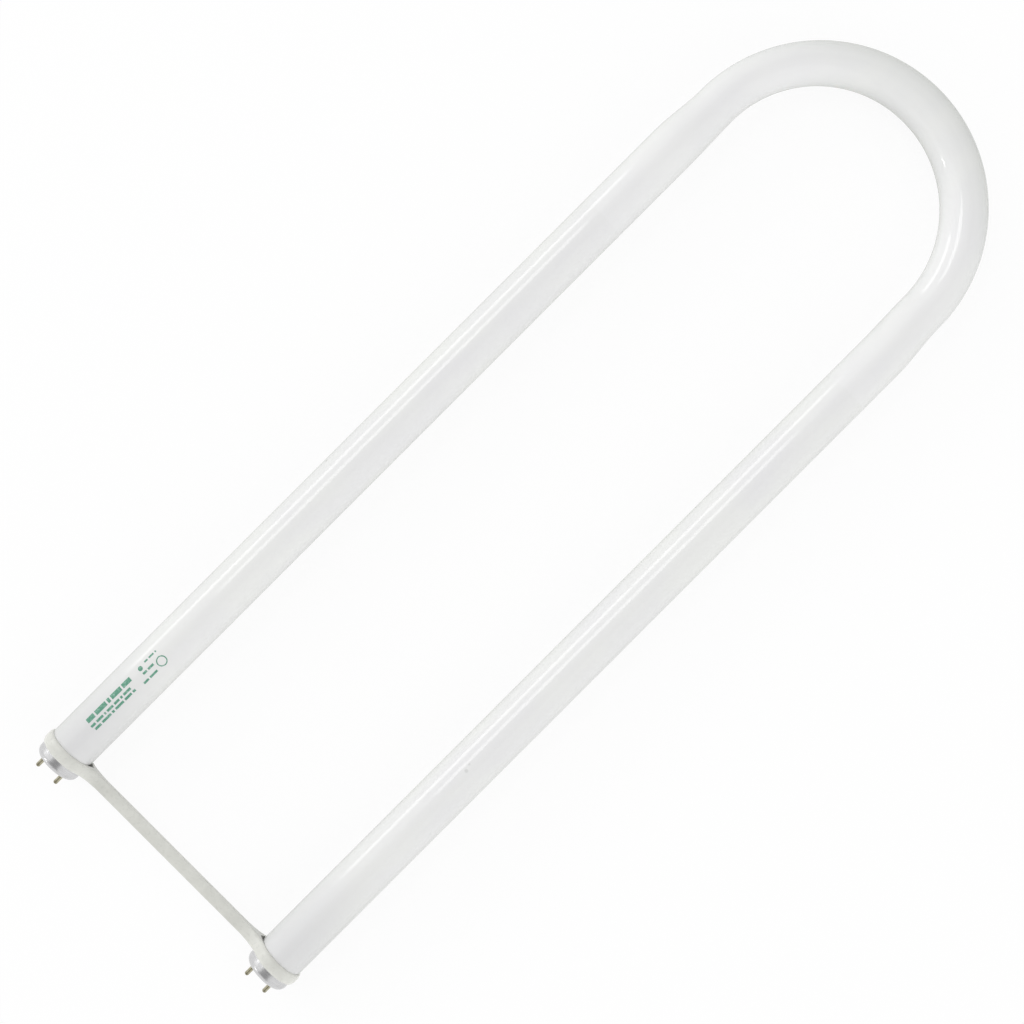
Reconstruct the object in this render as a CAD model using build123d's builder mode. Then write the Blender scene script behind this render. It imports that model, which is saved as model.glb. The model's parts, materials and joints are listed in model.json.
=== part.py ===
"""U-bend fluorescent tube with a two-pin base on each leg and a moulded brace between the legs.

The tube lies flat, as it rests on a table. Legs run along Y with the bend at +Y and the pins at -Y,
X runs across the legs and Z is up. The origin is the bottom centre of the whole lamp. Millimetres.
"""

from build123d import *

import os

# Glass tube
LEG_SPACING = 152.4  # centre to centre of the two legs
OVERALL_LENGTH = 568.8  # from the base faces to the outside of the bend
TUBE_DIAMETER = 25.8  # straight legs
BEND_DIAMETER = 23.6  # glass drawn thinner where it was bent
TAPER_LENGTH = 32.0  # stretch of each leg that narrows towards the bend
TAPER_SECTIONS = 4

# Sealed end of each leg, measured inwards from the base face
GLASS_SETBACK = 4.2  # base face to the glass rim
NECK_FIT = 0.2  # cemented gap between the narrowed neck and the cap
SHOULDER_LENGTH = 4.0  # from the cap's edge, glass swells from neck to leg
STEM_MOUTH = 20.0  # funnel of the stem at the rim
STEM_FLOOR_DIAMETER = 9.0
STEM_DEPTH = 22.0  # rim to the closed floor of the stem

# End caps
CAP_STEP = 0.25  # the caps are this much smaller in radius than the legs
CAP_LENGTH = 11.0
CAP_WALL = 0.4
CAP_LIP = 2.0  # end of the shell, turned in at 45 degrees

# Insulating discs, seated behind the lip of each cap
DISC_OVERLAP = 0.5  # rim of the disc that the lip covers
DISC_THICKNESS = 1.4

# Contact pins
PIN_SPACING = 12.7
PIN_DIAMETER = 2.35
PIN_LENGTH = 7.0  # base face to pin tip
PIN_TIP_BEVEL = 0.6
PIN_SHANK_DIAMETER = 1.9  # part that passes through the disc
PIN_SHANK_FIT = 0.02  # gap round the shank in the disc
PIN_TAIL = 0.6  # end of the shank behind the disc

# Lead wires
LEAD_DIAMETER = 0.6
LEAD_SPACING = 6.4  # where the pair leaves the glass

# Brace
BRACE_SETBACK = 6.3  # base face to the edge of the brace
BRACE_WIDTH = 6.7
STRAP_THICKNESS = 1.45
BAR_THICKNESS = 2.8
COLLAR_FIT = 0.15  # gap between collar and cap
BLEND_RADIUS = 20.0  # hollow curve from a collar into the bar
GAP_LENGTH = 2.4  # from a collar's bore to the end of the gap in the web beside it
GAP_END_RADIUS = 0.5

# Places that follow from the sizes
LEFT, RIGHT = -1, 1
LEG_X = LEG_SPACING / 2
TUBE_RADIUS = TUBE_DIAMETER / 2
BEND_RADIUS = BEND_DIAMETER / 2
CAP_RADIUS = TUBE_RADIUS - CAP_STEP
COLLAR_BORE_RADIUS = CAP_RADIUS + COLLAR_FIT
COLLAR_RADIUS = COLLAR_BORE_RADIUS + STRAP_THICKNESS
AXIS_HEIGHT = COLLAR_RADIUS  # the collars rest on the table
FACE_Y = PIN_LENGTH - (OVERALL_LENGTH + PIN_LENGTH) / 2
INNER_WALL_X = LEG_X - TUBE_RADIUS  # inner side of leg and bend are one smooth line
BEND_LINE_RADIUS = INNER_WALL_X + BEND_RADIUS
BEND_Y = FACE_Y + OVERALL_LENGTH - INNER_WALL_X - BEND_DIAMETER
TAPER_START_Y = BEND_Y - TAPER_LENGTH
NECK_RADIUS = CAP_RADIUS - CAP_WALL - NECK_FIT
SHOULDER_END = CAP_LENGTH + SHOULDER_LENGTH
STEM_FLOOR = GLASS_SETBACK + STEM_DEPTH
LIP_RADIUS = CAP_RADIUS - CAP_LIP
DISC_FRONT = 2 * CAP_WALL + DISC_OVERLAP  # where the disc's edge meets the sloping inside of the lip
DISC_BACK = DISC_FRONT + DISC_THICKNESS
PIN_BACK = DISC_BACK + PIN_TAIL

os.makedirs("parts", exist_ok=True)


def base_plane(x):
    """Plane through an axis at x: its X runs across the axis, its Y inwards from the base face."""
    return Plane((x, FACE_Y, AXIS_HEIGHT))


def along_leg(x):
    """Axis at x, parallel to the legs."""
    return Axis((x, FACE_Y, AXIS_HEIGHT), (0, 1, 0))


def make_glass_tube():
    """Both legs with their sealed ends, the two tapers and the bend, as one piece of glass."""
    leg_end = TAPER_START_Y - FACE_Y
    with BuildPart() as glass_tube:
        with BuildSketch(base_plane(LEG_X)):
            with BuildLine():
                Polyline(
                    (0, STEM_FLOOR),
                    (STEM_FLOOR_DIAMETER / 2, STEM_FLOOR),
                    (STEM_MOUTH / 2, GLASS_SETBACK),
                    (NECK_RADIUS, GLASS_SETBACK),
                    (NECK_RADIUS, CAP_LENGTH),
                    (TUBE_RADIUS, SHOULDER_END),
                    (TUBE_RADIUS, leg_end),
                    (0, leg_end),
                    close=True,
                )
            make_face()
        revolve(axis=along_leg(LEG_X))
        for station in range(TAPER_SECTIONS):
            share = station / (TAPER_SECTIONS - 1)
            narrowing = share * share * (3 - 2 * share)
            radius = TUBE_RADIUS + narrowing * (BEND_RADIUS - TUBE_RADIUS)
            with BuildSketch(Plane.XZ.offset(-TAPER_START_Y - share * TAPER_LENGTH)):
                with Locations((INNER_WALL_X + radius, AXIS_HEIGHT)):
                    Circle(radius)
        loft(ruled=True)
        mirror(about=Plane.YZ)
        with BuildSketch(Plane.XZ.offset(-BEND_Y)):
            with Locations((BEND_LINE_RADIUS, AXIS_HEIGHT)):
                Circle(BEND_RADIUS)
        revolve(axis=Axis((0, BEND_Y, 0), (0, 0, 1)), revolution_arc=180)
    return glass_tube.part


def make_end_cap(side):
    """Drawn shell whose end is turned in to a lip."""
    leg = side * LEG_X
    inside = CAP_RADIUS - CAP_WALL
    with BuildPart() as end_cap:
        with BuildSketch(base_plane(leg)):
            with BuildLine():
                Polyline(
                    (CAP_RADIUS, CAP_LENGTH),
                    (CAP_RADIUS, CAP_LIP),
                    (LIP_RADIUS, 0),
                    (LIP_RADIUS, 2 * CAP_WALL),
                    (inside, CAP_LIP + CAP_WALL),
                    (inside, CAP_LENGTH),
                    close=True,
                )
            make_face()
        revolve(axis=along_leg(leg))
    return end_cap.part


def make_insulator(side):
    """Disc behind the cap's lip, bored for two pins."""
    with BuildPart() as insulator:
        with BuildSketch(Plane.XZ.offset(-FACE_Y - DISC_FRONT)):
            with Locations((side * LEG_X, AXIS_HEIGHT)):
                Circle(LIP_RADIUS + DISC_OVERLAP)
                with GridLocations(PIN_SPACING, 0, 2, 1):
                    Circle(PIN_SHANK_DIAMETER / 2 + PIN_SHANK_FIT, mode=Mode.SUBTRACT)
        extrude(amount=-DISC_THICKNESS)
    return insulator.part


def make_pin(x):
    """Pin with a bevelled tip, whose shoulder stands on the disc and whose shank passes through it."""
    outside = PIN_DIAMETER / 2
    shank = PIN_SHANK_DIAMETER / 2
    with BuildPart() as pin:
        with BuildSketch(base_plane(x)):
            with BuildLine():
                Polyline(
                    (0, -PIN_LENGTH),
                    (outside - PIN_TIP_BEVEL, -PIN_LENGTH),
                    (outside, PIN_TIP_BEVEL - PIN_LENGTH),
                    (outside, DISC_FRONT),
                    (shank, DISC_FRONT),
                    (shank, PIN_BACK),
                    (0, PIN_BACK),
                    close=True,
                )
            make_face()
        revolve(axis=along_leg(x))
    return pin.part


def make_lead(side, place):
    """Wire from the floor of the stem, slanting outwards to the back of its pin."""
    leg = side * LEG_X
    start = Vector(leg + place * LEAD_SPACING / 2, FACE_Y + STEM_FLOOR, AXIS_HEIGHT)
    end = Vector(leg + place * PIN_SPACING / 2, FACE_Y + PIN_BACK, AXIS_HEIGHT)
    with BuildPart() as lead:
        with BuildSketch(Plane(start, (1, 0, 0), (0, -1, 0))):
            Circle(LEAD_DIAMETER / 2)
        extrude(amount=(end - start).length, dir=end - start)
    return lead.part


def make_spacer_brace():
    """Strap of constant width: a collar round each cap, and a web that thins from it to the middle bar.

    Seen along the legs, each side of the web is a hollow arc that leaves the collar's circle at a tangent
    and runs out tangent to the face of the bar. The bore narrows to a short gap in the web, between two
    lines tangent to the bore and to the gap's round end. A quarter is drawn, then mirrored down and across.
    """
    bar = BAR_THICKNESS / 2
    leg = Vector(LEG_X, 0)
    blend_z = bar + BLEND_RADIUS
    blend = Vector(LEG_X - ((COLLAR_RADIUS + BLEND_RADIUS) ** 2 - blend_z**2) ** 0.5, blend_z)
    collar_touch = leg + (blend - leg).normalized() * COLLAR_RADIUS
    gap_end = Vector(LEG_X - COLLAR_BORE_RADIUS - GAP_LENGTH + GAP_END_RADIUS, 0)
    shrink = (COLLAR_BORE_RADIUS - GAP_END_RADIUS) / (leg - gap_end).length
    to_touch = Vector(-shrink, (1 - shrink**2) ** 0.5)
    bore_touch = leg + to_touch * COLLAR_BORE_RADIUS
    gap_touch = gap_end + to_touch * GAP_END_RADIUS
    with BuildPart() as spacer_brace:
        with BuildSketch(Plane((0, FACE_Y + BRACE_SETBACK, AXIS_HEIGHT), (1, 0, 0), (0, -1, 0))):
            with BuildLine():
                Polyline((0, 0), (0, bar), (blend.X, bar))
                TangentArc((blend.X, bar), collar_touch, tangent=(1, 0))
                ThreePointArc(collar_touch, (LEG_X, COLLAR_RADIUS), (LEG_X + COLLAR_RADIUS, 0))
                mirror(about=Plane.XZ)
            make_face()
            with BuildLine():
                ThreePointArc((LEG_X + COLLAR_BORE_RADIUS, 0), (LEG_X, COLLAR_BORE_RADIUS), bore_touch)
                Line(bore_touch, gap_touch)
                TangentArc((gap_end.X - GAP_END_RADIUS, 0), gap_touch, tangent=(0, 1))
                mirror(about=Plane.XZ)
            make_face(mode=Mode.SUBTRACT)
        extrude(amount=-BRACE_WIDTH)
        mirror(about=Plane.YZ)
    return spacer_brace.part


def save(part, name):
    part.label = name
    export_step(part, f"parts/{name}.step")


save(make_glass_tube(), "glass_tube")
save(make_spacer_brace(), "spacer_brace")
for side, side_name in ((LEFT, "left"), (RIGHT, "right")):
    save(make_end_cap(side), f"{side_name}_end_cap")
    save(make_insulator(side), f"{side_name}_insulator")
    for place, place_name in ((side, "outer"), (-side, "inner")):
        save(make_pin(side * LEG_X + place * PIN_SPACING / 2), f"{side_name}_{place_name}_pin")
        save(make_lead(side, place), f"{side_name}_{place_name}_lead")
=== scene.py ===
import json
import math

import bpy
import numpy as np
from mathutils.geometry import tessellate_polygon
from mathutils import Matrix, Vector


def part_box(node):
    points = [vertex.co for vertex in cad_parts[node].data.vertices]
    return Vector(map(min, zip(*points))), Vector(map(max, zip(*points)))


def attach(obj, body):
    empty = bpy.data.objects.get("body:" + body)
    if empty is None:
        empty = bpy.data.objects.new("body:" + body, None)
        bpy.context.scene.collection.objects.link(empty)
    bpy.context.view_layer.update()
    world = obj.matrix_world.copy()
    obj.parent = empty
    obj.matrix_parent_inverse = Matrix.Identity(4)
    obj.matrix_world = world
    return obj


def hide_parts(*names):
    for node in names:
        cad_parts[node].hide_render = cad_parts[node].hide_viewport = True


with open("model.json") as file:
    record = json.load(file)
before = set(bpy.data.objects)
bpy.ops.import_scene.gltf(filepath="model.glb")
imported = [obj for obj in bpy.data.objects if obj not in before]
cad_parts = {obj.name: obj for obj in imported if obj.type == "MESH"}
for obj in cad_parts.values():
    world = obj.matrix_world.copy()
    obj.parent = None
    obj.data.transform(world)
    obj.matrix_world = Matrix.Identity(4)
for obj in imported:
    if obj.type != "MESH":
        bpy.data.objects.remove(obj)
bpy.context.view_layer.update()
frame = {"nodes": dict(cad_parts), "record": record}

# Places read from the frame, in metres. An inset goes from the caps' faces towards the bend
PINS = {mount["name"]: mount["pos_m"] for mount in frame["record"]["mounts"]}
PIN_RADIUS = frame["record"]["mounts"][0]["dims"]["r_mm"] / 1000
AXIS_Z = PINS["right_outer_pin"][2]
LEG_X = (PINS["right_outer_pin"][0] + PINS["right_inner_pin"][0]) / 2
FACE_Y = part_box("right_end_cap")[0].y
CAP_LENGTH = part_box("right_end_cap")[1].y - FACE_Y
BEND_TOP_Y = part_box("glass_tube")[1].y
RIM_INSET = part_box("glass_tube")[0].y - FACE_Y
PIN_TIP_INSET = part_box("right_outer_pin")[0].y - FACE_Y
PIN_BACK_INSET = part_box("right_outer_pin")[1].y - FACE_Y
DISC_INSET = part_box("right_insulator")[0].y - FACE_Y
BRACE_FRONT_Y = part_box("spacer_brace")[0].y
BRACE_BACK_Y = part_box("spacer_brace")[1].y
COLLAR_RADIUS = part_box("spacer_brace")[1].x - LEG_X

# Glass, in metres
TUBE_RADIUS = 0.0129
BEND_RADIUS = 0.0118
BEND_SWING = 0.00035  # the tube is thicker by this at the right start of the bend, thinner at the left
BEND_SWELL = 0.00012  # thicker by this at the top of the bend
BEND_WAVE = 0.00015  # and by this half-way up its right side, thinner on its left
TAPER_LENGTH = 0.032
NECK_RADIUS = 0.01205
SHOULDER_LENGTH = 0.004
STEM_FLOOR_INSET = 0.0262
STEM_FLOOR_RADIUS = 0.0045
STEM_MOUTH_RADIUS = 0.0100
STEM_ROUND = 0.0008

# Caps and pins, in metres
CAP_RADIUS = 0.01265
CAP_WALL = 0.0004
CAP_LIP = 0.0020
CAP_CORNER = 0.0035  # length of the rounded corner
CAP_CORNER_WIDTH = 0.0030
PIN_SHANK_RADIUS = 0.00095
PIN_TIP_ROUND = 0.0010

# Brace, in metres
BAR_THICKNESS = 0.0028
COLLAR_FIT = 0.00015
BLEND_RADIUS = 0.020
GAP_LENGTH = 0.0024  # how far each hole runs on from the bore towards the bar
GAP_END_RADIUS = 0.0005
BAR_ROUND = (0.0003, 0.0003)  # inset and depth of the bar's rounded edges
COLLAR_ROUND = (0.0012, 0.0028)  # the same of the collars' outside
HOLE_ROUND = (0.00005, 0.00005)  # the same in the holes
BRACE_RIM = 0.00005  # flat rim inside a rounded edge

# Stamped bars, disc and ring on the left leg, in metres: places along it and across it from its top line
PRINT_PROUD = 0.00003
PRINT_SUNK = 0.00002
BAR_GAP = 0.0010
BAR_SHARE = 1.5  # the bars share out a row's length by this plus a sine
BAR_TURN = 2.3  # of this angle, in radians, times the bar's number
BAR_ROWS = (  # first and last place, place across, height, number of bars
    (-0.2499, -0.2189, -0.0029, 0.0026, 5),
    (-0.2503, -0.2222, 0.0006, 0.0013, 7),
    (-0.2497, -0.2210, 0.0029, 0.0013, 6),
    (-0.2080, -0.1998, -0.0038, 0.0010, 3),
    (-0.2126, -0.2052, 0.0002, 0.0012, 2),
    (-0.2158, -0.2062, 0.0039, 0.0012, 2),
)
DISC_PLACE = (-0.2117, -0.0029)
DISC_RADIUS = 0.0013
RING_PLACE = (-0.2012, 0.0021)
RING_RADIUS = 0.0029
RING_LINE = 0.0006

# Places that follow from the sizes
INNER_WALL_X = LEG_X - TUBE_RADIUS
BEND_OUTER_RADIUS = INNER_WALL_X + 2 * BEND_RADIUS
BEND_Y = BEND_TOP_Y - BEND_OUTER_RADIUS
TAPER_START_Y = BEND_Y - TAPER_LENGTH
PIN_TIP_Y = FACE_Y + PIN_TIP_INSET
COLLAR_BORE_RADIUS = CAP_RADIUS + COLLAR_FIT
BLEND_Z = BAR_THICKNESS / 2 + BLEND_RADIUS
BLEND_X = LEG_X - math.sqrt((COLLAR_RADIUS + BLEND_RADIUS) ** 2 - BLEND_Z**2)
TANGENT_X = LEG_X + (BLEND_X - LEG_X) * COLLAR_RADIUS / (COLLAR_RADIUS + BLEND_RADIUS)
SIDES = {"left": -1, "right": 1}

# Number of points along each stretch of the meshes
TUBE_POINTS = 128  # round the glass and the caps
PIN_POINTS = 48  # round a pin
MARK_POINTS = 40  # round the stamped disc and ring
LEG_POINTS = 24
TAPER_POINTS = 25
BEND_POINTS = 145
SHOULDER_POINTS = 13
SMALL_ROUND_POINTS = 9
CAP_CORNER_POINTS = 17
PIN_TIP_POINTS = 12
COLLAR_POINTS = 49
BLEND_POINTS = 20
GAP_END_POINTS = 7
BRACE_EDGE_POINTS = 10
BAR_POINTS = 7
SHARP_TURN = math.radians(40)  # edges that turn by more are shaded sharp

# Where a finish changes along the legs, in metres: first and last place of each change
LEFT_HEATED_Y = (0.1170, 0.1182)  # the left leg is whiter past these
RIGHT_HEATED_Y = (0.1418, 0.1430)  # the right leg is whiter past these
RIGHT_SIDE_X = (-0.001, 0.001)  # past these across, the right leg's places hold
THINNED_Y = (BEND_Y + 0.030, BEND_Y + 0.085)  # the coat is thinner past these
CAP_END_SHADE_Y = (-0.262, -0.185)  # painted shade: the coat is greyer before these
DARK_TIP_Y = (PIN_TIP_Y + 0.0004, PIN_TIP_Y + 0.0026)  # the pins are darker before these

# Shades. A pair is the two that a finish's clouds, lines or patches mix
DRAWN_COAT = ((0.894, 0.886, 0.906, 1.0), (0.919, 0.917, 0.916, 1.0))
HEATED_COAT = ((0.909, 0.902, 0.922, 1.0), (0.932, 0.926, 0.936, 1.0))
THINNED_COAT = ((0.847, 0.848, 0.850, 1.0), (0.868, 0.869, 0.863, 1.0))
# Painted shade with a faint lavender tint: the grey that the coat goes to towards the caps
CAP_END_SHADE = (0.782, 0.776, 0.794, 1.0)
CAP_END_SHADE_SHARE = 0.75
GLASS_TINT = (0.886, 0.892, 0.880, 1.0)
MARK_GREY = (0.36, 0.36, 0.34, 1.0)
MOULDED_WHITE = ((0.626, 0.629, 0.588, 1.0), (0.679, 0.682, 0.639, 1.0))
DRAWN_METAL = ((0.58, 0.58, 0.585, 1.0), (0.67, 0.67, 0.675, 1.0))
DULL_METAL = (0.50, 0.50, 0.50, 1.0)
DULL_SHARE = 0.35
OLIVE_BRASS = ((0.38, 0.355, 0.255, 1.0), (0.47, 0.445, 0.33, 1.0))
DARK_TIP = (0.20, 0.18, 0.12, 1.0)
DARK_TIP_SHARE = 0.6
BROWN_MOULDING = ((0.10, 0.062, 0.038, 1.0), (0.20, 0.125, 0.075, 1.0))
TINNED_GREY = ((0.60, 0.58, 0.55, 1.0), (0.42, 0.40, 0.38, 1.0))
STAMPED_GREEN = ((0.10, 0.30, 0.205, 1.0), (0.32, 0.52, 0.43, 1.0))
FLOOR_WHITE = (0.95, 0.95, 0.95, 1.0)
WHITE = (1.0, 1.0, 1.0, 1.0)

# Small grey marks on the glass: the spot, the size and how dark
MARK_CORE = 0.3  # share of a mark's size that is fully dark
GLASS_MARKS = (
    ((-0.0876, -0.0703, AXIS_Z + 0.0060), 0.0012, 0.45),
    ((0.0749, -0.1313, AXIS_Z + 0.0128), 0.0014, 0.25),
    ((0.0735, -0.1278, AXIS_Z + 0.0127), 0.0010, 0.20),
    ((-0.0738, 0.2043, AXIS_Z + 0.0118), 0.0006, 0.35),
)

# Lamps and floor, in metres
SOFTBOXES = (  # name, tilt in degrees, distance, width, length, place along the legs, radiance
    ("low_softbox", 68, 6.0, 1.42, 3.00, -0.144, 2.6),
    ("high_softbox", 30, 6.0, 1.42, 2.18, -0.026, 2.2),
    ("far_softbox", 65, 3.5, 0.60, 0.90, -4.85, 8.0),
)
AREA_LAMP_SHARE = 4  # an area lamp's watts are this times its radiance and its area
FLOOR_REACH = 8.0
FLOOR_GLOW = 0.90  # share of plain white in the floor where it is seen

# Sky: strengths, and parts of a direction across and along the legs, which go from -1 to 1
SKY_FILL = 0.66  # light that falls on surfaces from all over
SIDE_FILL = 1.46  # more of it from both sides, by the square of the part across
RIGHT_FILL = 0.13  # a little more from the right
BEND_SHADE = 0.45  # less from beyond the bend and more from the caps' side, by the cube of the part along
OVERHEAD_SHADE = 0.40  # less from the patch overhead
OVERHEAD_DARK = 0.60  # how much darker the patch is in reflections
OVERHEAD_SIDES = (0.36, 0.44)  # the patch ends across between these
OVERHEAD_START = (-0.90, -0.75)  # it begins along the legs between these
OVERHEAD_END = (0.45, 0.60)  # and ends between these

# Camera, in metres and degrees
CAMERA_HEIGHT = 0.82  # above the legs' axes
CAMERA_X = -0.00175
CAMERA_Y = -0.0218
CAMERA_TURN = 45
VIEW_WIDTH = 0.5287  # what the picture spans at the legs' axes
SENSOR_WIDTH = 36.0  # in millimetres


class Wire:
    """A socket in a node tree. Operators on wires and numbers add Math nodes, and node() adds any other."""

    MIXED_COLOUR = 2  # the Mix node's output for colours

    def __init__(self, tree, socket=None):
        self.tree = tree
        self.socket = socket

    def node(self, kind, settings=None, inputs=None, output=0):
        """Adds a node, sets its settings, then its sockets' values or links. Gives a wire from an output."""
        made = self.tree.nodes.new(kind)
        for name, value in (settings or {}).items():
            setattr(made, name, value)
        sockets = {socket.identifier: socket for socket in made.inputs}
        for name, value in (inputs or {}).items():
            if isinstance(value, Wire):
                self.tree.links.new(value.socket, sockets[name])
            else:
                sockets[name].default_value = value
        return Wire(self.tree, made.outputs[output] if made.outputs else None)

    def math(self, operation, first, second):
        """A Math node on two wires or numbers."""
        return self.node("ShaderNodeMath", {"operation": operation}, {"Value": first, "Value_001": second})

    def __add__(self, other):
        return self.math("ADD", self, other)

    def __radd__(self, other):
        return self.math("ADD", other, self)

    def __sub__(self, other):
        return self.math("SUBTRACT", self, other)

    def __rsub__(self, other):
        return self.math("SUBTRACT", other, self)

    def __mul__(self, other):
        return self.math("MULTIPLY", self, other)

    def __rmul__(self, other):
        return self.math("MULTIPLY", other, self)

    def __abs__(self):
        return self.node("ShaderNodeMath", {"operation": "ABSOLUTE"}, {"Value": self})

    def rises(self, low, high):
        """Mask that goes smoothly from 0 at low to 1 at high."""
        limits = {"Value": self, "From Min": low, "From Max": high}
        return self.node("ShaderNodeMapRange", {"interpolation_type": "SMOOTHSTEP"}, limits)

    def between(self, low, high):
        """Number that goes from low to high as this mask goes from 0 to 1."""
        return self * (high - low) + low

    def mix(self, low, high):
        """Colour that goes from low to high as this mask goes from 0 to 1."""
        inputs = {"Factor_Float": self, "A_Color": low, "B_Color": high}
        return self.node("ShaderNodeMix", {"data_type": "RGBA"}, inputs, self.MIXED_COLOUR)

    def part(self, axis):
        """One coordinate, X, Y or Z, of this vector."""
        return self.node("ShaderNodeSeparateXYZ", inputs={"Vector": self}, output=axis)

    def stretched(self, scale):
        """This vector with each coordinate multiplied."""
        inputs = {"Vector": self, "Vector_001": scale}
        return self.node("ShaderNodeVectorMath", {"operation": "MULTIPLY"}, inputs)

    def far_from(self, point):
        """Distance of this vector from a point."""
        inputs = {"Vector": self, "Vector_001": point}
        return self.node("ShaderNodeVectorMath", {"operation": "DISTANCE"}, inputs, "Value")

    def noise(self, scale, detail=2.0, roughness=0.5):
        """Noise at this vector, about 0.5 on average, with the scale in grains to the metre."""
        inputs = {"Vector": self, "Scale": scale, "Detail": detail, "Roughness": roughness}
        return self.node("ShaderNodeTexNoise", inputs=inputs)

    def bump(self, height, strength):
        """Normal that follows this height, which is 1 at the given metres."""
        return self.node("ShaderNodeBump", inputs={"Height": self, "Distance": height, "Strength": strength})


def emptied(block):
    """Clears a material's or a world's nodes and gives the wire that new ones grow from."""
    block.use_nodes = True
    block.node_tree.nodes.clear()
    return Wire(block.node_tree)


def new_material(name):
    """A material without nodes, and a wire of the places on its surface in metres."""
    material = bpy.data.materials.new(name)
    return material, emptied(material).node("ShaderNodeTexCoord", output="Object")


def put_out(wire, shader_inputs):
    """Adds the Principled shader with these inputs and the material's output."""
    shader = wire.node("ShaderNodeBsdfPrincipled", inputs=shader_inputs)
    wire.node("ShaderNodeOutputMaterial", inputs={"Surface": shader})


# Finishes

def coated_glass():
    """White coating seen through clear glass, which is faintly green where it is looked through edge-on:
    faint clouds, whiter past a line on each leg where the glass was heated for the bend, thinner and so
    greener round the bend, greyer towards the caps by a painted shade, and a few small marks."""
    material, place = new_material("coated_glass")
    along = place.part("Y")
    clouds = place.stretched((1.0, 0.35, 1.0)).noise(60.0, detail=3.0).rises(0.3, 0.7)
    bent = along.rises(*THINNED_Y).mix(clouds.mix(*HEATED_COAT), clouds.mix(*THINNED_COAT))
    right = place.part("X").rises(*RIGHT_SIDE_X)
    heated = (1 - right) * along.rises(*LEFT_HEATED_Y) + right * along.rises(*RIGHT_HEATED_Y)
    colour = heated.mix(clouds.mix(*DRAWN_COAT), bent)
    # Painted shade: the coat greys towards the caps, where the light is darker
    near_caps_shade = 1 - along.rises(*CAP_END_SHADE_Y)
    colour = (near_caps_shade * CAP_END_SHADE_SHARE).mix(colour, CAP_END_SHADE)
    for spot, size, strength in GLASS_MARKS:
        mark = 1 - place.far_from(spot).rises(size * MARK_CORE, size)
        colour = (mark * strength).mix(colour, MARK_GREY)
    polish = place.noise(220.0).rises(0.3, 0.7).between(0.06, 0.07)
    ripple = place.stretched((1.0, 0.10, 1.0)).noise(45.0, detail=1.0).bump(0.00002, strength=0.03)
    put_out(place, {"Base Color": colour, "Roughness": polish, "Normal": ripple, "IOR": 1.5,
                    "Coat Weight": 1.0, "Coat IOR": 1.05, "Coat Roughness": 0.06, "Coat Tint": GLASS_TINT})
    return material


def brace_plastic():
    """Off-white moulded plastic, satin, with a fine moulded grain and greyer clouds."""
    material, place = new_material("brace_plastic")
    clouds = place.noise(140.0, detail=4.0, roughness=0.6).rises(0.3, 0.7)
    satin = place.noise(500.0).rises(0.2, 0.8).between(0.25, 0.35)
    grain = place.noise(2600.0, detail=3.0).bump(0.00004, strength=0.15)
    put_out(place, {"Base Color": clouds.mix(*MOULDED_WHITE), "Roughness": satin, "Normal": grain})
    return material


def cap_aluminium():
    """Drawn and polished aluminium: fine rings round the shell and a few dull patches."""
    material, place = new_material("cap_aluminium")
    lines = place.stretched((0.02, 1.0, 0.02)).noise(5200.0).rises(0.25, 0.75)
    dull = place.noise(420.0, detail=3.0).rises(0.45, 0.75)
    colour = (dull * DULL_SHARE).mix(lines.mix(*DRAWN_METAL), DULL_METAL)
    gloss = lines.between(0.24, 0.29) + dull * 0.08
    drawn = lines.bump(0.00001, strength=0.3)
    put_out(place, {"Base Color": colour, "Metallic": 1.0, "Roughness": gloss, "Normal": drawn})
    return material


def pin_brass():
    """Brass that has dulled to olive, darker at the crimped tips."""
    material, place = new_material("pin_brass")
    tips = 1 - place.part("Y").rises(*DARK_TIP_Y)
    clouds = place.noise(900.0, detail=3.0).rises(0.3, 0.7)
    colour = (tips * DARK_TIP_SHARE).mix(clouds.mix(*OLIVE_BRASS), DARK_TIP)
    gloss = clouds.between(0.12, 0.18) + tips * 0.10
    put_out(place, {"Base Color": colour, "Metallic": 1.0, "Roughness": gloss})
    return material


def insulator_moulding():
    """Dark brown pressed moulding with a mottled filler."""
    material, place = new_material("insulator_moulding")
    filler = place.noise(1500.0, detail=4.0, roughness=0.7).rises(0.35, 0.7)
    put_out(place, {"Base Color": filler.mix(*BROWN_MOULDING), "Roughness": filler.between(0.4, 0.6),
                    "Normal": filler.bump(0.00003, strength=0.3)})
    return material


def lead_wire():
    """Tinned wire, grey with dull stretches."""
    material, place = new_material("lead_wire")
    dull = place.noise(1200.0, detail=3.0).rises(0.3, 0.7)
    put_out(place, {"Base Color": dull.mix(*TINNED_GREY), "Metallic": 1.0,
                    "Roughness": dull.between(0.3, 0.5)})
    return material


def green_ink():
    """Stamped ink, thin in places."""
    material, place = new_material("green_ink")
    thin = place.noise(900.0, detail=3.0, roughness=0.6).rises(0.45, 0.75)
    put_out(place, {"Base Color": thin.mix(*STAMPED_GREEN), "Roughness": thin.between(0.35, 0.55)})
    return material


# Shapes

def smooth_step(share):
    """Three times the square less twice the cube: from 0 to 1, and level at both ends."""
    return share * share * (3 - 2 * share)


def arc(middle, size, start, stop, count=SMALL_ROUND_POINTS):
    """Points on an elliptical arc: the middle plus the two sizes times cosine and sine, angles in degrees."""
    angle = np.radians(np.linspace(start, stop, count))
    return np.stack([middle[0] + size[0] * np.cos(angle), middle[1] + size[1] * np.sin(angle)], axis=-1)


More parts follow.
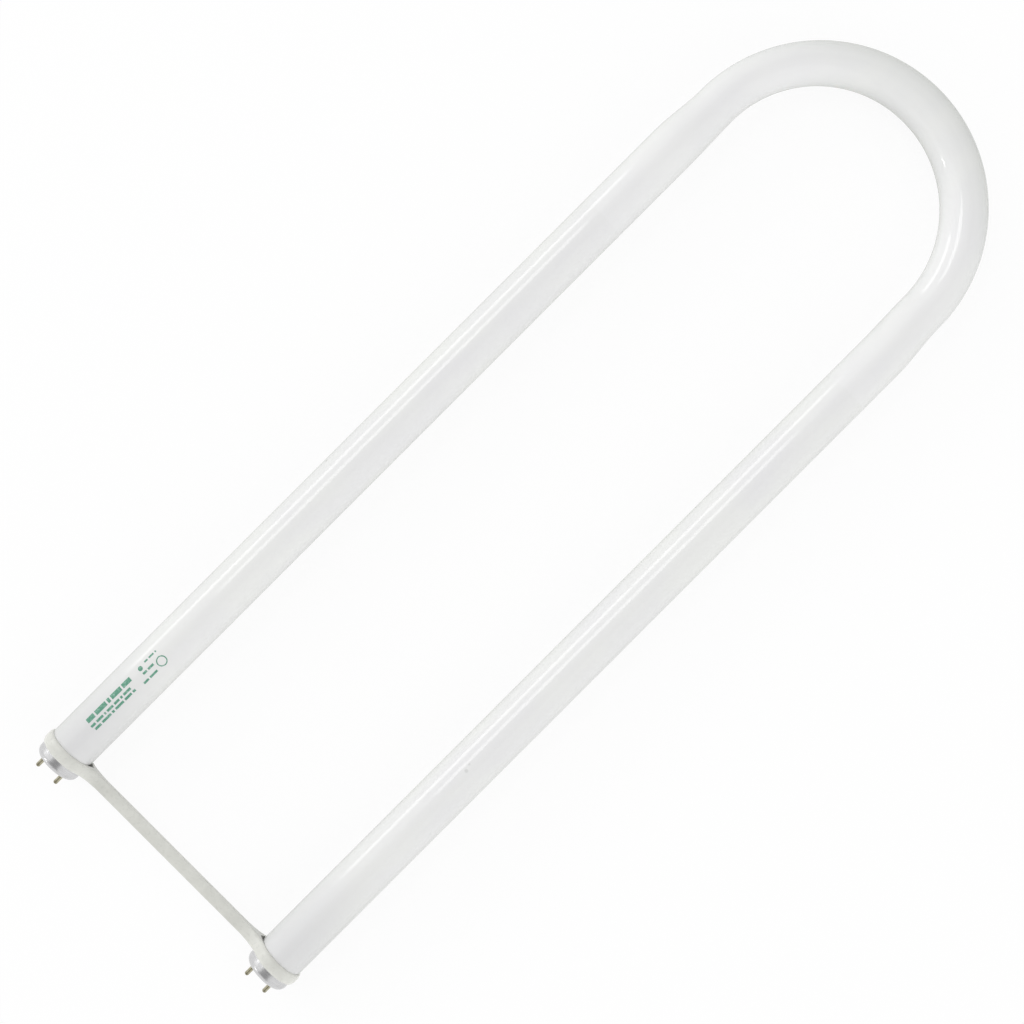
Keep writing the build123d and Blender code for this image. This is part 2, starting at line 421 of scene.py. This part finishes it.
def rings(centre_x, centre_y, out_x, out_y, radius, count):
    """Rings carried along a flat path: the path's point, plus the radius times the angle's cosine along the
    outward direction in the plane, plus the radius times its sine upwards. Row by row, one ring each."""
    angle = np.linspace(0, 2 * math.pi, count, endpoint=False)
    across = np.outer(radius, np.cos(angle))
    up = np.outer(radius, np.sin(angle))
    x = np.asarray(centre_x)[:, None] + across * np.asarray(out_x)[:, None]
    y = np.asarray(centre_y)[:, None] + across * np.asarray(out_y)[:, None]
    return np.stack([x, y, AXIS_Z + up], axis=-1)


def turned(profile, axis_x, count):
    """A profile of radius and inset turned about an axis at axis_x that runs along the legs."""
    radius, inset = np.asarray(profile).T
    ones = np.ones(len(radius))
    return rings(axis_x * ones, FACE_Y + inset, ones, 0 * ones, radius, count)


def corner_numbers(grid, base=0):
    """The number of each point in a grid of them, row by row from the base."""
    return base + np.arange(grid.shape[0] * grid.shape[1]).reshape(grid.shape[:2])


def ring_strips(here):
    """Four-sided faces between rings of corner numbers: a corner, the same in the next ring, and the corners
    beside both."""
    beside = np.roll(here, -1, axis=1)
    return np.stack([here[:-1], here[1:], beside[1:], beside[:-1]], axis=-1).reshape(-1, 4)


def capped_skin(grid):
    """Vertices and faces of a closed skin over rings, whose first and last ring are single points."""
    vertices = np.vstack([grid[0, :1], grid[1:-1].reshape(-1, 3), grid[-1, :1]])
    here = corner_numbers(grid[1:-1], 1)
    beside = np.roll(here, -1, axis=1)
    first = np.stack([np.zeros_like(here[0]), here[0], beside[0]], axis=-1)
    last = np.stack([np.full_like(here[0], len(vertices) - 1), beside[-1], here[-1]], axis=-1)
    return vertices, ring_strips(here).tolist() + first.tolist() + last.tolist()


def looped_skin(grid):
    """Vertices and faces of a closed skin over rings, whose last ring joins on to the first."""
    here = corner_numbers(grid)
    return grid.reshape(-1, 3), ring_strips(np.vstack([here, here[:1]])).tolist()


def make_piece(name, skin, material, node=None):
    """Puts a skin into a mesh that rides on the one body and stands for its CAD node."""
    mesh = bpy.data.meshes.new(name)
    vertices, faces = skin
    mesh.from_pydata(vertices.tolist(), [], faces)
    mesh.shade_smooth()
    mesh.set_sharp_from_angle(angle=SHARP_TURN)
    mesh.materials.append(material)
    piece = bpy.data.objects.new(name, mesh)
    bpy.context.scene.collection.objects.link(piece)
    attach(piece, "root")
    if node:
        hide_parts(node)


def bend_tube_radius(turn):
    """Radius of the tube round the bend: the plain radius, a cosine that makes the right start thicker than
    the left one, a sine that swells the top, and a sine of twice the turn that swells the right side."""
    return (BEND_RADIUS + BEND_SWING * np.cos(turn) + BEND_SWELL * np.sin(turn)
            + BEND_WAVE * np.sin(2 * turn))


def sealed_end():
    """Radius and inset along a sealed end: the stem's floor, its funnel, a rounded rim, the neck, and a
    shoulder that swells to the leg, fast at first, as one less the cube of what is left."""
    floor = (STEM_FLOOR_RADIUS - STEM_ROUND, STEM_FLOOR_INSET - STEM_ROUND)
    rim_half = (NECK_RADIUS - STEM_MOUTH_RADIUS) / 2
    rim = (STEM_MOUTH_RADIUS + rim_half, RIM_INSET + rim_half)
    share = np.linspace(0, 1, SHOULDER_POINTS)
    swell = NECK_RADIUS + (1 - (1 - share) ** 3) * (TUBE_RADIUS - NECK_RADIUS)
    return np.vstack([
        [(0, STEM_FLOOR_INSET)],
        arc(floor, (STEM_ROUND, STEM_ROUND), 90, 0),
        arc(rim, (rim_half, rim_half), 180, 360),
        np.stack([swell, CAP_LENGTH + share * SHOULDER_LENGTH], axis=-1),
    ])


def leg_run(start_radius):
    """Centre, place and radius of the rings along one leg, from the stem's floor to the start of the bend,
    where the radius is given. The leg narrows by a smooth step, and its centre shifts by the same step to
    the one that keeps the bend's outer wall on its circle."""
    end_radius, end_inset = sealed_end().T
    straight = np.linspace(FACE_Y + end_inset[-1], TAPER_START_Y, LEG_POINTS)[1:-1]
    share = np.linspace(0, 1, TAPER_POINTS)
    narrowing = smooth_step(share)
    taper_radius = TUBE_RADIUS + narrowing * (start_radius - TUBE_RADIUS)
    taper_centre = LEG_X + narrowing * (BEND_OUTER_RADIUS - start_radius - LEG_X)
    leg_centre = np.full(len(end_radius) + len(straight), LEG_X)
    centre = np.concatenate([leg_centre, taper_centre])
    place = np.concatenate([FACE_Y + end_inset, straight, TAPER_START_Y + share * TAPER_LENGTH])
    radius = np.concatenate([end_radius, np.full(len(straight), TUBE_RADIUS), taper_radius])
    return centre, place, radius


def glass_tube():
    """Rings up the right leg, round the bend and down the left leg. Round the bend the outer wall keeps to
    one circle, so the centre line lies one tube radius inside it."""
    turn = np.linspace(0, math.pi, BEND_POINTS)[1:-1]
    bend_radius = bend_tube_radius(turn)
    line = BEND_OUTER_RADIUS - bend_radius
    right_x, right_y, right_radius = leg_run(bend_tube_radius(0))
    left_x, left_y, left_radius = leg_run(bend_tube_radius(math.pi))
    grid = rings(
        np.concatenate([right_x, line * np.cos(turn), -left_x[::-1]]),
        np.concatenate([right_y, BEND_Y + line * np.sin(turn), left_y[::-1]]),
        np.concatenate([np.ones(len(right_x)), np.cos(turn), -np.ones(len(left_x))]),
        np.concatenate([np.zeros(len(right_x)), np.sin(turn), np.zeros(len(left_x))]),
        np.concatenate([right_radius, bend_radius, left_radius[::-1]]),
        TUBE_POINTS,
    )
    return capped_skin(grid)


def end_cap(axis_x):
    """A drawn shell turned about a leg's axis. Its profile is a loop: a rounded corner from the lip, the
    outside, a rounded edge, the inside, and the slope behind the lip where the disc seats."""
    inside = CAP_RADIUS - CAP_WALL
    half = CAP_WALL / 2
    corner = (CAP_RADIUS - CAP_CORNER_WIDTH, CAP_CORNER)
    profile = np.vstack([
        arc(corner, (CAP_CORNER_WIDTH, CAP_CORNER), -90, 0, CAP_CORNER_POINTS),
        arc((inside + half, CAP_LENGTH - half), (half, half), 0, 180),
        [(inside, CAP_LIP + CAP_WALL)],
        [(CAP_RADIUS - CAP_LIP, 2 * CAP_WALL)],
    ])
    return looped_skin(turned(profile, axis_x, TUBE_POINTS))


def contact_pin(axis_x):
    """A pin turned about its own axis: a domed tip, the body down to the disc, and a thinner shank through
    it."""
    profile = np.vstack([
        arc((0, PIN_TIP_INSET + PIN_TIP_ROUND), (PIN_RADIUS, PIN_TIP_ROUND), -90, 0, PIN_TIP_POINTS),
        [(PIN_RADIUS, DISC_INSET), (PIN_SHANK_RADIUS, DISC_INSET)],
        [(PIN_SHANK_RADIUS, PIN_BACK_INSET), (0, PIN_BACK_INSET)],
    ])
    return capped_skin(turned(profile, axis_x, PIN_POINTS))


def edge_arc(middle, radius, start, stop, side, count):
    """Points of an arc in the brace's outline with their outward normals, which point away from the middle
    where side is 1 and towards it where side is -1. Angles in radians."""
    angle = np.linspace(start, stop, count)
    ray = np.stack([np.cos(angle), np.sin(angle)], axis=-1)
    return np.hstack([np.asarray(middle) + radius * ray, side * ray])


def brace_loops():
    """The brace's outline and its two holes, as seen along the legs: points across and up, with normals.

    A quarter of the outline goes over a collar's circle, down a hollow arc tangent to it, and along the
    face of the bar. Half of a hole goes round the gap's end, straight to the bore and over it. The rest is
    mirrored, and each hole runs the other way round than the outline, so all normals leave the plastic.
    """
    blend = (BLEND_X, BLEND_Z)
    collar_turn = math.atan2(BLEND_Z, BLEND_X - LEG_X)
    gap_end = (LEG_X - COLLAR_BORE_RADIUS - GAP_LENGTH + GAP_END_RADIUS, 0)
    touch_turn = math.pi - math.acos((COLLAR_BORE_RADIUS - GAP_END_RADIUS) / (LEG_X - gap_end[0]))
    quarter = np.vstack([
        edge_arc((LEG_X, 0), COLLAR_RADIUS, 0, collar_turn, 1, COLLAR_POINTS),
        edge_arc(blend, BLEND_RADIUS, collar_turn - math.pi, -math.pi / 2, -1, BLEND_POINTS)[1:],
    ])
    top = np.vstack([quarter, quarter[::-1] * (-1, 1, -1, 1)])
    outline = np.vstack([top[:-1], -top[:-1]])
    hole_top = np.vstack([
        edge_arc(gap_end, GAP_END_RADIUS, math.pi, touch_turn, -1, GAP_END_POINTS),
        edge_arc((LEG_X, 0), COLLAR_BORE_RADIUS, touch_turn, 0, -1, COLLAR_POINTS),
    ])
    right_hole = np.vstack([hole_top[:-1], hole_top[:0:-1] * (1, -1, 1, -1)])
    left_hole = right_hole[::-1] * (-1, 1, -1, 1)
    return outline, right_hole, left_hole


def outer_round(loop):
    """Inset and depth of the rounded edge along the outline: the bar's, going over to the collars' by a
    smooth step of the distance out from the middle."""
    share = smooth_step(np.clip((np.abs(loop[:, 0]) - BLEND_X) / (TANGENT_X - BLEND_X), 0, 1))[:, None]
    return np.array(BAR_ROUND) + share * (np.array(COLLAR_ROUND) - np.array(BAR_ROUND))


def brace_walls(loop, edge_round):
    """A loop carried through the brace's width: a flat rim, an elliptical edge that goes in from the loop by
    one less a sine and back from the face by one less a cosine, the wall, and the same edge and rim
    behind."""
    turn = np.linspace(0, math.pi / 2, BRACE_EDGE_POINTS)[:, None]
    inset = (1 - np.sin(turn)) * edge_round[:, 0]
    depth = (1 - np.cos(turn)) * edge_round[:, 1]
    rim = inset[:1] + BRACE_RIM
    inset = np.vstack([rim, inset, inset[::-1], rim])[..., None]
    front = np.vstack([0 * rim, depth])
    place = np.vstack([BRACE_FRONT_Y + front, BRACE_BACK_Y - front[::-1]])
    edge = loop[:, :2] - inset * loop[:, 2:]
    return np.stack([edge[..., 0], place, AXIS_Z + edge[..., 1]], axis=-1)


def spacer_brace():
    """The brace's loops carried through its width with rounded edges, then closed by a flat face in front and
    one behind, each with two holes. The triangles of a face are turned to one way round by the sign of the
    cross product of two sides."""
    outline, right_hole, left_hole = brace_loops()
    hole_round = np.array([HOLE_ROUND])
    rounds = ((outline, outer_round(outline)), (right_hole, hole_round), (left_hole, hole_round))
    vertices, faces, rims = [], [], []
    base = 0
    for loop, edge_round in rounds:
        walls = brace_walls(loop, edge_round * np.ones((len(loop), 1)))
        here = corner_numbers(walls, base)
        vertices.append(walls.reshape(-1, 3))
        faces.append(ring_strips(here))
        rims.append(here[[0, -1]])
        base += here.size
    vertices = np.vstack(vertices)
    flat = vertices[:, [0, 2, 1]] * (1, 1, 0)
    triangles = np.array(tessellate_polygon([flat[rim[0]].tolist() for rim in rims]))
    front_rims, back_rims = np.hstack(rims)
    first, second, third = flat[front_rims[triangles.T]]
    turn = np.cross(second - first, third - first)[:, 2]
    triangles[turn < 0] = triangles[turn < 0][:, ::-1]
    front_face = front_rims[triangles]
    back_face = back_rims[triangles[:, ::-1]]
    return vertices, np.vstack(faces).tolist() + front_face.tolist() + back_face.tolist()


def on_leg(place, across, height):
    """Points on the left leg's skin: the place along the leg, the arc length across from its top line, which
    over the tube's radius is the angle, and the height above the skin."""
    place, across, height = np.broadcast_arrays(place, across, height)
    angle = across / TUBE_RADIUS
    radius = TUBE_RADIUS + height
    return np.stack([-LEG_X + radius * np.sin(angle), place, AXIS_Z + radius * np.cos(angle)], axis=-1)


def bar_places(first, last, count):
    """Starts and ends of a row of bars: equal gaps, and lengths that share out the rest by a fixed share plus
    a sine that goes on with the bar's number."""
    weight = BAR_SHARE + np.sin(BAR_TURN * np.arange(count))
    length = weight / weight.sum() * (last - first - BAR_GAP * (count - 1))
    start = first + np.concatenate([[0], np.cumsum(length + BAR_GAP)[:-1]])
    return np.stack([start, start + length], axis=-1)


def bar_skin(ends, across, height):
    """A thin closed strip of ink: two layers, steps across and two ends on the leg's skin, with its faces."""
    layers = np.array([-PRINT_SUNK, PRINT_PROUD])[:, None, None]
    steps = across + np.linspace(-height / 2, height / 2, BAR_POINTS)[:, None]
    points = on_leg(ends, steps, layers)
    under, over = np.arange(2 * BAR_POINTS * 2).reshape(2, BAR_POINTS, 2)
    strips = (
        (over[:-1, 0], over[1:, 0], over[1:, 1], over[:-1, 1]),
        (under[:-1, 1], under[1:, 1], under[1:, 0], under[:-1, 0]),
        (under[:-1, 0], under[1:, 0], over[1:, 0], over[:-1, 0]),
        (over[:-1, 1], over[1:, 1], under[1:, 1], under[:-1, 1]),
        (under[:1, 1], under[:1, 0], over[:1, 0], over[:1, 1]),
        (under[-1:, 0], under[-1:, 1], over[-1:, 1], over[-1:, 0]),
    )
    return points.reshape(-1, 3), np.vstack([np.stack(strip, axis=-1) for strip in strips]).tolist()


def round_mark(middle, profile):
    """Rings on the leg's skin round a middle: each pair of radius and height in the profile, turned."""
    radius, height = np.asarray(profile).T[:, :, None]
    angle = np.linspace(0, 2 * math.pi, MARK_POINTS, endpoint=False)
    return on_leg(middle[0] + radius * np.sin(angle), middle[1] + radius * np.cos(angle), height)


def stamped_print():
    """Rows of bars, a disc and a ring of ink, joined into one list of vertices and faces. Each skin's corner
    numbers go up by the number of vertices before it."""
    hole = RING_RADIUS - RING_LINE
    disc = [(0, PRINT_PROUD), (DISC_RADIUS, PRINT_PROUD), (DISC_RADIUS, -PRINT_SUNK), (0, -PRINT_SUNK)]
    ring = [(hole, PRINT_PROUD), (RING_RADIUS, PRINT_PROUD), (RING_RADIUS, -PRINT_SUNK), (hole, -PRINT_SUNK)]
    skins = [capped_skin(round_mark(DISC_PLACE, disc)), looped_skin(round_mark(RING_PLACE, ring))]
    for first, last, across, height, count in BAR_ROWS:
        skins += [bar_skin(ends, across, height) for ends in bar_places(first, last, count)]
    vertices, faces = [], []
    base = 0
    for points, corners in skins:
        vertices.append(points)
        faces += [[base + corner for corner in face] for face in corners]
        base += len(points)
    return np.vstack(vertices), faces


# Lights, floor and camera

def softbox(name, tilt, distance, width, length, along, radiance):
    """A rectangular lamp at a distance from the Y axis, on the left and tilted from the vertical, with its
    place along the legs given. It is turned by the same tilt, so it faces that axis."""
    lamp = bpy.data.lights.new(name, "AREA")
    lamp.shape = "RECTANGLE"
    lamp.size = width
    lamp.size_y = length
    lamp.energy = AREA_LAMP_SHARE * radiance * width * length
    turn = math.radians(tilt)
    holder = bpy.data.objects.new(name, lamp)
    holder.location = (-distance * math.sin(turn), along, distance * math.cos(turn))
    holder.rotation_euler = (0, -turn, 0)
    holder.visible_camera = False
    bpy.context.scene.collection.objects.link(holder)


def seen_directly(start):
    """1 for rays from the camera and for reflected or refracted ones, 0 for diffuse light."""
    kinds = ("Is Camera Ray", "Is Glossy Ray", "Is Transmission Ray")
    camera, glossy, through = (start.node("ShaderNodeLightPath", output=kind) for kind in kinds)
    return camera + glossy + through


def studio_sky():
    """White where it is seen or reflected, with a dark patch overhead in reflections. As fill it is brighter
    from the sides and from the caps' end, and darker from overhead and from beyond the bend."""
    world = bpy.data.worlds.new("studio_sky")
    start = emptied(world)
    direction = start.node("ShaderNodeTexCoord", output="Generated")
    across, along = direction.part("X"), direction.part("Y")
    seen = seen_directly(start)
    glossy = start.node("ShaderNodeLightPath", output="Is Glossy Ray")
    overhead = 1 - abs(across).rises(*OVERHEAD_SIDES)
    overhead = overhead * along.rises(*OVERHEAD_START) * (1 - along.rises(*OVERHEAD_END))
    fill = across * RIGHT_FILL + across * across * SIDE_FILL + SKY_FILL - overhead * OVERHEAD_SHADE
    fill = fill - along * along * along * BEND_SHADE
    level = seen + (1 - seen) * fill - glossy * overhead * OVERHEAD_DARK
    background = start.node("ShaderNodeBackground", inputs={"Color": WHITE, "Strength": level})
    start.node("ShaderNodeOutputWorld", inputs={"Surface": background})
    bpy.context.scene.world = world


def pale_floor():
    """A white sheet that keeps a faint shadow where it is seen."""
    material = bpy.data.materials.new("pale_floor")
    start = emptied(material)
    paper = start.node("ShaderNodeBsdfDiffuse", inputs={"Color": FLOOR_WHITE})
    glow = start.node("ShaderNodeEmission", inputs={"Color": WHITE, "Strength": 1.0})
    shares = {"Fac": seen_directly(start) * FLOOR_GLOW, "Shader": paper, "Shader_001": glow}
    sheet = start.node("ShaderNodeMixShader", inputs=shares)
    start.node("ShaderNodeOutputMaterial", inputs={"Surface": sheet})
    mesh = bpy.data.meshes.new("floor")
    corners = np.array([(-1, -1, 0), (1, -1, 0), (1, 1, 0), (-1, 1, 0)]) * FLOOR_REACH
    mesh.from_pydata(corners.tolist(), [], [(0, 1, 2, 3)])
    mesh.materials.append(material)
    floor = bpy.data.objects.new("floor", mesh)
    bpy.context.scene.collection.objects.link(floor)


def overhead_camera():
    """Looks straight down, turned so that the legs run up to the right."""
    lens = bpy.data.cameras.new("camera")
    lens.sensor_width = SENSOR_WIDTH
    lens.lens = SENSOR_WIDTH * CAMERA_HEIGHT / VIEW_WIDTH
    camera = bpy.data.objects.new("camera", lens)
    camera.location = (CAMERA_X, CAMERA_Y, AXIS_Z + CAMERA_HEIGHT)
    camera.rotation_euler = (0, 0, math.radians(CAMERA_TURN))
    bpy.context.scene.collection.objects.link(camera)
    bpy.context.scene.camera = camera


# Assembly

aluminium = cap_aluminium()
brass = pin_brass()
hidden_finishes = {"insulator": insulator_moulding(), "lead": lead_wire()}

make_piece("drawn_glass_tube", glass_tube(), coated_glass(), "glass_tube")
make_piece("moulded_brace", spacer_brace(), brace_plastic(), "spacer_brace")
make_piece("stamped_print", stamped_print(), green_ink())
for side_name, side in SIDES.items():
    make_piece(f"{side_name}_rolled_cap", end_cap(side * LEG_X), aluminium,
               f"{side_name}_end_cap")
for pin_name, pin_place in PINS.items():
    make_piece(pin_name.replace("pin", "contact"), contact_pin(pin_place[0]), brass, pin_name)
for node_name, node in frame["nodes"].items():
    finish = hidden_finishes.get(node_name.split("_")[-1])
    if finish:
        node.data.materials.clear()
        node.data.materials.append(finish)

for lamp_values in SOFTBOXES:
    softbox(*lamp_values)
studio_sky()
pale_floor()
overhead_camera()
bpy.context.scene.view_settings.view_transform = "Standard"
